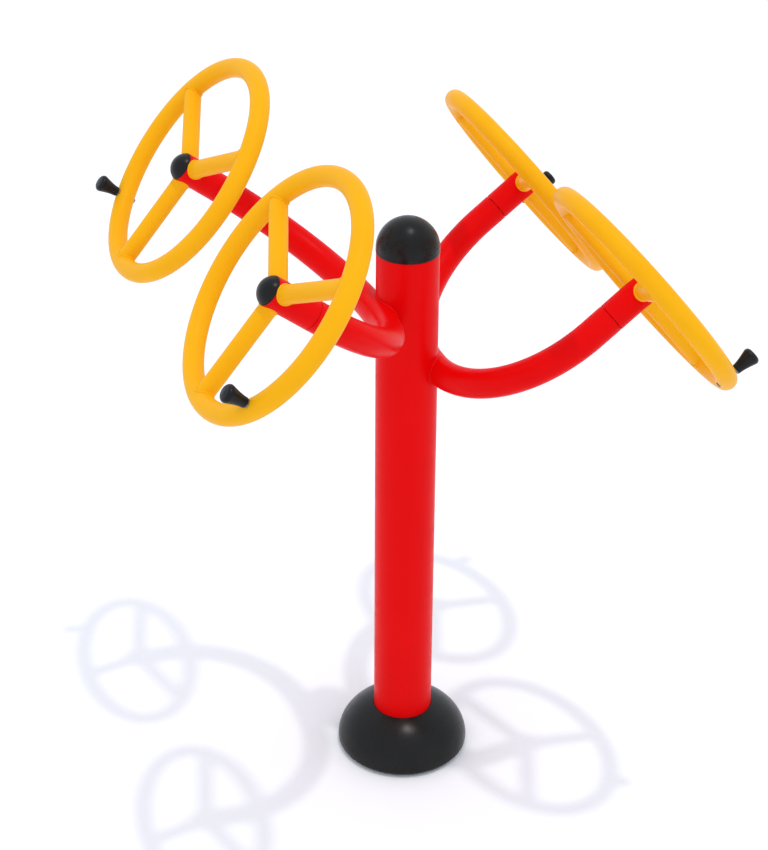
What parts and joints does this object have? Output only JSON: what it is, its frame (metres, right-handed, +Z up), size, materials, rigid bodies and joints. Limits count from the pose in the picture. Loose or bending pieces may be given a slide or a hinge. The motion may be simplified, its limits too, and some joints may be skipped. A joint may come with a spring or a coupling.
{
  "type": "arm wheel exerciser",
  "caption": "Outdoor fitness arm-wheel station: a post with bent arm tubes that carry leaning hand wheels, each turning on its own bearings with a spinning handle.",
  "frame": {"origin": "centre of the anchor bolt circle on the flange's underside, on the ground at the post's axis", "axes": "+Z up along the post; -X is the side of the upper pair of wheels, +X the side of the lower pair, -Y the front"},
  "size_m": [1.0168, 1.063, 1.4455],
  "materials": {
    "red_paint": "gloss powder coat",
    "yellow_paint": "gloss powder coat",
    "black_plastic": "semi-gloss moulded",
    "bearing_steel": "ground",
    "zinc_steel": "zinc plated",
    "seal_rubber": "matt"
  },
  "bodies": {
    "stand": {"post_tube": "red_paint", "post_cap": "black_plastic", "base_flange": "red_paint", "base_gussets": "red_paint", "base_cover": "black_plastic", "upper_arm_tube": "red_paint", "lower_arm_tube": "red_paint", "upper_front_spindle": "zinc_steel", "upper_front_bearing_inner_set": "bearing_steel", "upper_front_lock_nut": "zinc_steel", "upper_back_spindle": "zinc_steel", "upper_back_bearing_inner_set": "bearing_steel", "upper_back_lock_nut": "zinc_steel", "lower_front_spindle": "zinc_steel", "lower_front_bearing_inner_set": "bearing_steel", "lower_front_lock_nut": "zinc_steel", "lower_back_spindle": "zinc_steel", "lower_back_bearing_inner_set": "bearing_steel", "lower_back_lock_nut": "zinc_steel"},
    "upper_front_wheel": {"upper_front_hub_sleeve": "red_paint", "upper_front_bearing_outer_set": "bearing_steel", "upper_front_bearing_clip": "bearing_steel", "upper_front_seal_ring": "seal_rubber", "upper_front_hub_cap": "black_plastic", "upper_front_rim": "yellow_paint", "upper_front_spokes": "yellow_paint", "upper_front_handle_stud": "zinc_steel"},
    "upper_front_knob": {"upper_front_handle_knob": "black_plastic", "upper_front_knob_end_plug": "black_plastic"},
    "upper_back_wheel": {"upper_back_hub_sleeve": "red_paint", "upper_back_bearing_outer_set": "bearing_steel", "upper_back_bearing_clip": "bearing_steel", "upper_back_seal_ring": "seal_rubber", "upper_back_hub_cap": "black_plastic", "upper_back_rim": "yellow_paint", "upper_back_spokes": "yellow_paint", "upper_back_handle_stud": "zinc_steel"},
    "upper_back_knob": {"upper_back_handle_knob": "black_plastic", "upper_back_knob_end_plug": "black_plastic"},
    "lower_front_wheel": {"lower_front_hub_sleeve": "red_paint", "lower_front_bearing_outer_set": "bearing_steel", "lower_front_bearing_clip": "bearing_steel", "lower_front_seal_ring": "seal_rubber", "lower_front_hub_cap": "black_plastic", "lower_front_rim": "yellow_paint", "lower_front_spokes": "yellow_paint", "lower_front_handle_stud": "zinc_steel"},
    "lower_front_knob": {"lower_front_handle_knob": "black_plastic", "lower_front_knob_end_plug": "black_plastic"},
    "lower_back_wheel": {"lower_back_hub_sleeve": "red_paint", "lower_back_bearing_outer_set": "bearing_steel", "lower_back_bearing_clip": "bearing_steel", "lower_back_seal_ring": "seal_rubber", "lower_back_hub_cap": "black_plastic", "lower_back_rim": "yellow_paint", "lower_back_spokes": "yellow_paint", "lower_back_handle_stud": "zinc_steel"},
    "lower_back_knob": {"lower_back_handle_knob": "black_plastic", "lower_back_knob_end_plug": "black_plastic"}
  },
  "joints": [
    {"name": "upper_front_wheel_spin", "type": "hinge", "parent": "stand", "child": "upper_front_wheel", "pos_m": [-0.348, -0.29, 1.25], "axis": [-0.7934, 0, 0.6088], "continuous": true},
    {"name": "upper_front_knob_spin", "type": "hinge", "parent": "upper_front_wheel", "child": "upper_front_knob", "pos_m": [-0.43506, -0.46044, 1.13653], "axis": [-0.7934, 0, 0.6088], "continuous": true},
    {"name": "upper_back_wheel_spin", "type": "hinge", "parent": "stand", "child": "upper_back_wheel", "pos_m": [-0.348, 0.29, 1.25], "axis": [-0.7934, 0, 0.6088], "continuous": true},
    {"name": "upper_back_knob_spin", "type": "hinge", "parent": "upper_back_wheel", "child": "upper_back_knob", "pos_m": [-0.43506, 0.46044, 1.13653], "axis": [-0.7934, 0, 0.6088], "continuous": true},
    {"name": "lower_front_wheel_spin", "type": "hinge", "parent": "stand", "child": "lower_front_wheel", "pos_m": [0.36, -0.27, 1.138], "axis": [0.7934, 0, 0.6088], "continuous": true},
    {"name": "lower_front_knob_spin", "type": "hinge", "parent": "lower_front_wheel", "child": "lower_front_knob", "pos_m": [0.44706, -0.44044, 1.02453], "axis": [0.7934, 0, 0.6088], "continuous": true},
    {"name": "lower_back_wheel_spin", "type": "hinge", "parent": "stand", "child": "lower_back_wheel", "pos_m": [0.36, 0.27, 1.138], "axis": [0.7934, 0, 0.6088], "continuous": true},
    {"name": "lower_back_knob_spin", "type": "hinge", "parent": "lower_back_wheel", "child": "lower_back_knob", "pos_m": [0.44706, 0.44044, 1.02453], "axis": [0.7934, 0, 0.6088], "continuous": true}
  ]
}
